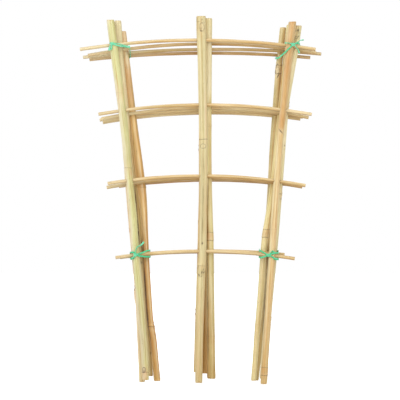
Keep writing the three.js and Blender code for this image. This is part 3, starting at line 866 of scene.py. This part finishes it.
LOOKS["third", "left"] = dict(
    slot="tan_cane", body="#f4cd8a", second="#d2a05c", turn=-30,
    nodes=[("ring", 2.6, 88), ("faint", 0, 84), ("plain",)],
    streaks=[
        # Painted shade: the dark streak at -56 degrees, on the left side beside the front cane
        (0.08, 0.4, -56, 1.2, 0.8, "dark", -50), (0.4, 0.72, 8, 1.2, 0.6, "pale", 2),
        (0.4, 0.72, -22, 0.5, 0.5, "olive", -26), (0.76, 1.03, 10, 5, 0.7, "rosy"),
        # Painted shade: the dark streak at -42 degrees, on the left side low down
        (0.42, 0.75, -52, 1.4, 0.3, "warm"), (0.15, 0.32, -42, 1.6, 0.55, "dark"),
        (0.03, 0.42, 36, 0.8, 0.8, "pale", 14), (0.08, 0.42, -30, 2.2, 0.95, "warm", -24),
        (0.02, 0.42, 66, 1.3, 0.9, "warm", 60), (0.02, 0.34, 0, 4, 0.45, "warm"),
        (0.85, 1.03, 25, 4, 0.85, "pale"), (0.45, 0.8, 58, 1.7, 0.5, "olive", 60),
        (0.74, 0.95, 16, 1.4, 0.6, "rosy"), (0.74, 0.95, 66, 1, 0.5, "olive"),
        (0.72, 0.9, 20, 5, 0.3, "olive"), (0.4, 0.68, -30, 2.6, 0.3, "rosy"),
    ],
    scars=[(0.135, 40, 0.9, 0.6, 0, 0.6)],
    stains=[(0.81, 30, 9, 1.8, 0.5, "olive")],
)
LOOKS["third", "middle"] = dict(
    slot="straw_cane", body="#efdfa6", second="#dcc688", turn=90,
    nodes=[("faint", 0, -90), ("faint", 0, 85), ("faint", 0, -90)],
    streaks=[(0.02, 0.38, -50, 1.6, 0.5, "warm")],
)
LOOKS["third", "right"] = dict(
    slot="straw_cane", body="#fff1ba", second="#f0e4a6", turn=180, bold=0.7, foot=0,
    nodes=[("plain",), ("double", 0.3), ("plain",)],
    grooves=[(0.05, 0.36, 22, 0.1, 0.5), (0.16, 0.3, 88, -0.4, 2.6)],
    streaks=[
        # Painted light: the pale streak at 58 degrees, on the right side beside the front cane
        (0.02, 0.42, 58, 2.2, 0.5, "pale"), (0.02, 0.36, -62, 1, 0.3, "olive"),
        (0.41, 0.53, 40, 1, 0.7, "warm"), (0.02, 0.36, 6, 5, 0.15, "pale"),
        (0.74, 0.95, -70, 3, 0.9, "warm"), (0.02, 0.37, -14, 1.2, 0.5, "rosy"),
        (0.43, 0.54, 0, 1.2, 0.3, "pale"),
    ],
    stains=[(0.408, -10, 5, 6, 0.5, "rosy")],
)
LOOKS["back", "left"] = dict(
    slot="tan_cane", body="#f2e6b8", second="#e4dba4", turn=60,
    nodes=[("plain", 0, 180), ("plain",), ("plain", 0, 170)],
    streaks=[
        # Painted light: the broad pale streak at 30 degrees, where this cane shows between those before it
        (0.52, 0.78, 30, 4.5, 0.9, "pale"), (0.37, 0.53, 12, 2.4, 0.5, "warm"),
        # Painted shade: the dark streak at 34 degrees, in the gap between the canes before it
        (0.17, 0.4, 34, 1, 0.9, "dark"), (0.02, 0.42, -10, 2.6, 0.6, "pale"),
        # Painted shade: the dark streak at -10 degrees, beside the front cane's edge
        (0.37, 0.53, -10, 0.9, 1, "dark", -4),
    ],
    scars=[(0.084, 46, 2, 0.7, 10, 0.9), (0.33, 4, 1.1, 0.8, 0, 0.8)],
)
LOOKS["back", "middle"] = dict(
    # Its body tones are darker than the other canes', partly painted shade for its place deep between them
    slot="tan_cane", body="#d8b178", second="#c59a5d", turn=130,
    nodes=[("plain", 0, 175), ("plain", 0, 5), ("plain", 0, 185)],
    # Painted light: the pale streak at -14 degrees, where it shows between the canes before it
    streaks=[(0.19, 0.29, -14, 1.6, 0.8, "pale")],
)
LOOKS["back", "right"] = dict(
    slot="tan_cane", body="#eddcaa", second="#dac990", turn=0,
    nodes=[("plain", 0, 170), ("plain",), ("plain",), ("double",)],
    buds=[(0.852, -28, 2.6, 4.6, 0.4)],
    streaks=[
        (0.3, 0.82, -40, 3.6, 0.7, "olive"), (0.3, 0.7, 4, 1, 0.6, "rosy"),
        (0.3, 0.62, 45, 2.2, 0.9, "warm"), (0.7, 0.97, 44, 2.6, 0.9, "warm"),
        # Painted shade: the dark streaks at 50 and 62 degrees, where this cane shows behind those before it
        (0.13, 0.38, 50, 2, 0.7, "dark"), (0.74, 0.93, 62, 2.2, 0.35, "dark"),
    ],
    scars=[(0.868, -38, 2, 0.9, 20, 0.9), (0.838, 0, 3.4, 0.8, 25, 1), (0.85, -64, 2.4, 0.8, 0, 0.9)],
    stains=[(0.852, -20, 8, 3.5, 0.6, "pale")],
)

# The two tones of each layer's bars, and of the three hinder bars of the paler second row
BAR_TONES = {
    "front": ("#e8cd98", "#d6b376"), "second": ("#dfc28c", "#cba86c"),
    "third": ("#dcc698", "#c4ab72"), "back": ("#d8b380", "#c39558"),
}
PALE_ROW = ("#efdaa6", "#e4cb94")

for order, ((layer, post), look) in enumerate(LOOKS.items()):
    threaded = [bars[layer, row] for row in ROWS]
    grid, masks, grain = cane_skin(canes[layer, post], threaded, look, np.random.default_rng([SEED, order]))
    bark = wood_finish(f"{layer}_{post}_bark", look["body"], look["second"], masks, 820, 0.42,
                       look.get("bold", 1.0))
    skin = closed_skin(f"{layer}_{post}_culm", grid, masks, grain)
    dress(skin, bark, f"{layer}_{post}_cane")

for layer in LAYERS:
    for row in ROWS:
        grid, masks, grain = bar_skin(layer, row, draw)
        tones = PALE_ROW if row == "upper" and layer != "front" else BAR_TONES[layer]
        wood = wood_finish(f"{layer}_{row}_wood", *tones, masks, 1100, 0.5, 0.7)
        dress(closed_skin(f"{layer}_{row}_rod", grid, masks, grain), wood, f"{layer}_{row}_bar")


def bar_heights(row, x):
    """Heights of a row's four bars, front first, at places across the fan."""
    return np.stack([bar_at(bars[layer, row], x) for layer in LAYERS])


def strand_height(row, x, y, under, level):
    """Height of a strand beside a post: below the first bars of a row, as many as under says, and
    above the others, straight from one to the next, or level there as far as its share says."""
    depths = np.array([bars[layer, row]["y"] for layer in LAYERS])
    heights = bar_heights(row, x)
    slope = (heights[-1] - heights[0]) / (depths[-1] - depths[0])
    lift = (bars["front", row]["radius"] + STRAND / 2 + BAR_ROOM) * np.hypot(1, slope)
    below = np.arange(len(LAYERS))[:, None] < under
    passes = heights + np.where(below, -lift, lift)
    furthest = np.where(np.asarray(under) > 0, passes.min(0), passes.max(0))
    depth = np.clip(y, depths[0], depths[-1])
    k = np.clip(np.searchsorted(depths, depth), 1, len(LAYERS) - 1)
    part = (depth - depths[k - 1]) / (depths[k] - depths[k - 1])
    column = np.arange(passes.shape[1])
    straight = passes[k - 1, column] * (1 - part) + passes[k, column] * part
    return straight + (furthest - straight) * level


def smooth_path(points, count, closed):
    """A curve through points: between each two of them a cubic whose ends lean as their neighbours
    lie, read off at an even number of places."""
    n = len(points)
    at = np.linspace(0, n if closed else n - 1, count, endpoint=not closed)
    at = np.minimum(at, (n if closed else n - 1) - 1e-9)
    k = at.astype(int)
    t = (at - k)[:, None]

    def corner(i):
        return points[i % n] if closed else points[np.clip(i, 0, n - 1)]

    a, b, c, d = corner(k - 1), corner(k), corner(k + 1), corner(k + 2)
    return 0.5 * (2 * b + (c - a) * t + (2 * a - 5 * b + 4 * c - d) * t**2 + (3 * b - a - 3 * c + d) * t**3)


def even(points, count, closed):
    """The same curve with its points moved so that they lie the same distance apart."""
    loop = np.concatenate([points, points[:1]]) if closed else points
    run = np.r_[0, np.cumsum(np.linalg.norm(np.diff(loop, axis=0), axis=1))]
    at = np.linspace(0, run[-1], count, endpoint=not closed)
    return np.stack([np.interp(at, run, loop[:, k]) for k in range(points.shape[1])], -1)


def taut_loop(own, row, side_height):
    """A taut loop round a post's four canes, seen from above: the point that lies furthest out in
    each direction, and that direction beside it. The loop also clears the places left and right of
    the canes where it passes the bars, which are given too."""
    out = np.stack([np.cos(directions(TURN_DIRECTIONS)), np.sin(directions(TURN_DIRECTIONS))], -1)
    every = np.ones(TURN_DIRECTIONS)
    front = every * meeting(bars["front", row], own[0])
    rounds = []
    for cane, bar in zip(own, bar_heights(row, front)):
        strand = side_height(front, every * cane["y"], out[:, 0] >= 0)
        level = bar + (strand - bar) * np.abs(out[:, 0])
        rounds.append((cane_at(cane, level), every * cane["y"], cane_at(cane, level, "radius")))
    thick = bars["front", row]["radius"]
    right = max(x.mean() + radius.mean() for x, _, radius in rounds) - thick
    left = min(x.mean() - radius.mean() for x, _, radius in rounds) + thick
    rounds += [(every * side, every * own[0]["y"], every * thick) for side in (left, right)]
    x, y, radius = np.array(rounds).transpose(1, 0, 2)
    best = (x * out[:, 0] + y * out[:, 1] + radius).argmax(0)
    pick = (best, np.arange(TURN_DIRECTIONS))
    reach = radius[pick] + STRAND / 2 + STRAND_SLACK
    plan = np.stack([x[pick] + reach * out[:, 0], y[pick] + reach * out[:, 1], *out.T], -1)
    return even(plan, TURN_PLACES, True), left, right


def turn_path(post, row, knot, turn):
    """One turn of a tie, and the way out from the canes along it: a taut loop that on each side
    passes the bars as its turn says, comes to the knot at the front, and crosses behind the last
    cane from one side's height to the other's."""
    own = [canes[layer, post] for layer in LAYERS]
    (left_under, left_level), (right_under, right_level) = turn

    def side_height(x, y, on_right):
        under = np.where(on_right, right_under, left_under)
        level = np.where(on_right, right_level, left_level)
        return strand_height(row, x, y, under, level)

    plan, left, right = taut_loop(own, row, side_height)
    x, y, out_x, out_y = plan.T
    ahead = y < own[0]["y"]
    on_right = np.where(ahead, x > knot[0], out_x > 0)
    height = side_height(x, y, on_right)
    part = np.clip((x - knot[0]) / (np.where(on_right, right, left) - knot[0]), 0, 1)
    height = np.where(ahead, knot[2] + (height - knot[2]) * part, height)
    last = own[-1]
    width = cane_at(last, knot[2], "radius")
    part = np.clip((x - cane_at(last, knot[2]) + width) / (2 * width), 0, 1)
    from_left, to_right = (side_height(x, y, np.full(TURN_PLACES, side)) for side in (False, True))
    height = np.where(y > last["y"], from_left + (to_right - from_left) * part, height)
    return np.stack([x, y, height], -1), np.stack([out_x, out_y, 0 * x], -1)


def ribbon_skin(path, out, width, thick, twist, closed, rng):
    """A crumpled ribbon along a path: its section is a flat oval with three soft folds that wind
    slowly round it, and it turns about the path by twist. Its flat side faces out."""
    ahead = np.roll(path, -1, 0) - np.roll(path, 1, 0) if closed else np.gradient(path, axis=0)
    ahead = ahead / np.linalg.norm(ahead, axis=1)[:, None]
    out = out - (out * ahead).sum(1)[:, None] * ahead
    out = out / np.linalg.norm(out, axis=1)[:, None]
    side = np.cross(ahead, out)
    facing = out * np.cos(twist)[:, None] + side * np.sin(twist)[:, None]
    beside = np.cross(ahead, facing)
    angle = directions(RIBBON_COLUMNS)[None, :]
    run = np.r_[0, np.cumsum(np.linalg.norm(np.diff(path, axis=0), axis=1))][:, None]
    count = run[-1] / FOLD_LENGTH
    winding = 2 * np.pi * run / run[-1] * (np.round(count) if closed else count)
    folds = 0.13 * np.cos(3 * angle + winding) + 0.05 * np.cos(5 * angle - 2 * winding)
    spots = (path[:, None]
             + facing[:, None] * (thick[:, None] * np.cos(angle) * (1 + folds))[..., None]
             + beside[:, None] * (width[:, None] * np.sin(angle) * (1 + folds))[..., None])
    grain = np.stack([np.cos(angle) * MM + 0 * run, np.sin(angle) * MM + 0 * run, run + 0 * angle], -1)
    return spots, np.clip(0.5 + 3 * folds, 0, 1), grain + rng.uniform(-1, 1, 3)


def turn_ribbon(path, out, knot, rng):
    """The ribbon of a turn: gathered towards the knot, and elsewhere broad and narrow by turns."""
    path, out = (smooth_path(line, TURN_ROWS, True) for line in (path, out))
    run = np.linspace(0, 1, TURN_ROWS, endpoint=False)
    gather = bell(np.linalg.norm(path - knot, axis=1) / KNOT_GATHER)
    loose = 0.5 + 0.5 * np.sin(2 * np.pi * (3 * run + rng.uniform()))
    width = RIBBON_HALF_WIDTH * (0.85 + 0.25 * loose - 0.3 * gather)
    thick = RIBBON_HALF_THICKNESS * (1.05 - 0.2 * loose + 0.2 * gather)
    twist = 0.35 * np.sin(2 * np.pi * (2 * run + rng.uniform())) * (1 - gather)
    return ribbon_skin(path, out, width, thick, twist, True, rng)


def knot_ribbon(knot, rng):
    """The ribbon of the knot: a small trefoil, drawn tight and nearly round in section."""
    t = directions(KNOT_ROWS)
    trefoil = np.stack([np.sin(t) + 2 * np.sin(2 * t), -np.sin(3 * t), np.cos(t) - 2 * np.cos(2 * t)], -1)
    loops = trefoil * KNOT_SIZE / TREFOIL_SIZE
    out = np.array([0.0, -1.0, 0.0]) + loops / KNOT_FACING
    plump = np.full(KNOT_ROWS, KNOT_STRAND)
    return ribbon_skin(knot + loops, out, plump, plump * 0.9, 0 * t, True, rng)


def tail_ribbon(knot, tail, rng):
    """The ribbon of a loose end: a curve from the knot through the tail's places, which leans back a
    little and grows broader and thinner outwards."""
    points = np.array([(0, 0), *tail]) * MM
    path = knot + np.stack([points[:, 0], np.linspace(0, TAIL_LEAN, len(points)), points[:, 1]], -1)
    path = even(smooth_path(path, TAIL_PLACES, False), TAIL_ROWS, False)
    run = np.linspace(0, 1, TAIL_ROWS)
    width = RIBBON_HALF_WIDTH * (0.7 + 0.35 * run - 0.15 * step(0.97, 1, run))
    thick = RIBBON_HALF_THICKNESS * (1.2 - 0.5 * run)
    twist = 1.3 * np.sin(2.5 * run + rng.uniform(0, 1))
    out = np.tile([0.0, -1.0, 0.0], (TAIL_ROWS, 1))
    return ribbon_skin(path, out, width, thick, twist, False, rng)


# The turns of each tie: on the left and on the right, how many bars from the front it passes under, and
# how far it runs level there. The loose ends: places right of the knot and above it, in millimetres.
# Deep is how much deeper a green the turns have, and then the knot and the ends.
CROSSED = [((4, 0), (0, 0)), ((0, 0), (4, 0))]
TIES = {
    ("left", "top"): {
        "deep": (0.0, 0.0), "turns": [((1, 0), (4, 0))],
        "tails": [[(8.1, 0.3), (16.1, -2.6), (22.4, -3.9)], [(-2.1, -2.6), (-3.1, -5.7), (-2.9, -8.3)]],
    },
    ("right", "top"): {
        "deep": (0.6, 0.15), "turns": [((4, 1), (0, 0))],
        "tails": [[(4.7, 2.3), (9.4, 4.9), (13.0, 5.5)], [(3.6, -3.1), (6.2, -6.8), (7.8, -10.4)],
                  [(-4.7, 1.6), (-9.9, 1.8)]],
    },
    ("left", "bottom"): {
        "deep": (0.7, 0.2), "turns": CROSSED,
        "tails": [[(0.0, 4.7), (2.3, 9.9), (6.8, 12.0), (9.9, 16.1)], [(-2.3, -2.1), (-4.7, -4.2)]],
    },
    ("right", "bottom"): {
        "deep": (0.7, 0.4), "turns": CROSSED,
        "tails": [[(2.6, 2.6), (4.9, 4.9), (7.3, 3.1)], [(4.2, -2.1), (7.8, -3.9), (10.9, -4.9)]],
    },
}


def tie_skin(post, row, tie, rng):
    """A tie: its turns of ribbon, the knot, which lies where the solid stands furthest forward, and
    the loose ends, whose last rows are shut with a flat face."""
    spots = corners(f"{row}_{post}_tie")
    front = spots[:, 1].min()
    foremost = spots[spots[:, 1] < front + KNOT_FRONT]
    knot = np.array([foremost[:, 0].mean(), front + KNOT_HALF_THICKNESS, foremost[:, 2].mean()])
    tight, free = tie["deep"]
    turns = [turn_ribbon(*turn_path(post, row, knot, turn), knot, rng) for turn in tie["turns"]]
    parts = [(*turn, True, tight) for turn in turns]
    parts.append((*knot_ribbon(knot, rng), True, free))
    parts += [(*tail_ribbon(knot, tail, rng), False, free) for tail in tie["tails"]]
    faces = []
    start = 0
    for _, fold, _, closed, _ in parts:
        rows = np.arange(fold.size).reshape(fold.shape)
        shut = [] if closed else [rows[0, ::-1].tolist(), rows[-1].tolist()]
        faces += [[k + start for k in face] for face in quads(*fold.shape, closed) + shut]
        start += fold.size
    grids, grains = (np.concatenate([part[k].reshape(-1, 3) for part in parts]) for k in (0, 2))
    masks = {"fold": np.concatenate([part[1].ravel() for part in parts]),
             "deep": np.concatenate([np.full(part[1].size, part[4]) for part in parts])}
    return surface(f"{row}_{post}_ribbon", grids, faces, masks, grains)


green = ribbon_finish()
for (post, row), tie in TIES.items():
    dress(tie_skin(post, row, tie, draw), green, f"{row}_{post}_tie")


def shown_white(tree, lit, glow):
    """A number that is glow for what the camera sees, directly or mirrored, and lit for light."""
    ray = put(tree, "LightPath")
    seen = maths(tree, "MAXIMUM", ray["Is Camera Ray"], ray["Is Glossy Ray"])
    seen = maths(tree, "MAXIMUM", seen, ray["Is Transmission Ray"])
    return between(tree, seen, lit, glow)


def surroundings():
    """White surroundings, which give an even light."""
    world = bpy.data.worlds.new("surroundings")
    bpy.context.scene.world = world
    tree = cleared(world)
    sky = put(tree, "Background", Color=(1, 1, 1, 1), Strength=shown_white(tree, WORLD_LIGHT, 1.0))
    put(tree, "OutputWorld", Surface=sky[0])


def pale_floor():
    """A pale floor just under the feet. It keeps its shadow near the fan and turns white further off."""
    mesh = bpy.data.meshes.new("floor")
    under = cad_box[0].z - FLOOR_GAP
    plan = np.array([(-1, -1), (1, -1), (1, 1), (-1, 1)]) * FLOOR_SIZE
    mesh.from_pydata([(x, y, under) for x, y in plan], [], [(0, 1, 2, 3)])
    white = bpy.data.materials.new("pale_floor")
    tree = cleared(white)
    spot = put(tree, "TexCoord")["Object"]
    far = spread(tree, put(tree, "VectorMath", {"operation": "LENGTH"}, i0=spot)["Value"], *FLOOR_FADE)
    matt = put(tree, "BsdfDiffuse", Color=(0.85, 0.85, 0.85, 1))
    shown = shown_white(tree, 0.0, between(tree, far, FLOOR_GLOW, 1.0))
    light = put(tree, "Emission", Color=(1, 1, 1, 1), Strength=shown)
    both = put(tree, "AddShader", i0=matt[0], i1=light[0])
    put(tree, "OutputMaterial", Surface=both[0])
    mesh.materials.append(white)
    floor = in_scene("floor", mesh)


def lamps():
    """Soft lamps from the front, the sides and behind, all turned to the middle of the fan."""
    middle = np.array([0, 0, (cad_box[0].z + cad_box[1].z) / 2])
    for name, spot, width, power in LAMPS:
        lamp = bpy.data.lights.new(name, "AREA")
        lamp.size = width
        lamp.energy = power
        holder = in_scene(name, lamp)
        holder.location = spot
        back = (np.array(spot) - middle) / np.linalg.norm(np.array(spot) - middle)
        holder.rotation_mode = "QUATERNION"
        holder.rotation_quaternion = Vector(back).to_track_quat("Z", "Y")
        holder.visible_camera = False


def camera():
    """The camera, square on to the fan."""
    lens = bpy.data.cameras.new("camera")
    lens.sensor_width = SENSOR
    lens.lens = SENSOR * CAMERA_DISTANCE / PICTURE_WIDTH
    lens.clip_end = 100
    holder = in_scene("camera", lens)
    holder.location = (PICTURE_CENTRE[0], -CAMERA_DISTANCE, PICTURE_CENTRE[1])
    holder.rotation_euler = (np.pi / 2, 0, 0)
    bpy.context.scene.camera = holder


bpy.context.scene.view_settings.view_transform = "Standard"
surroundings()
pale_floor()
lamps()
camera()
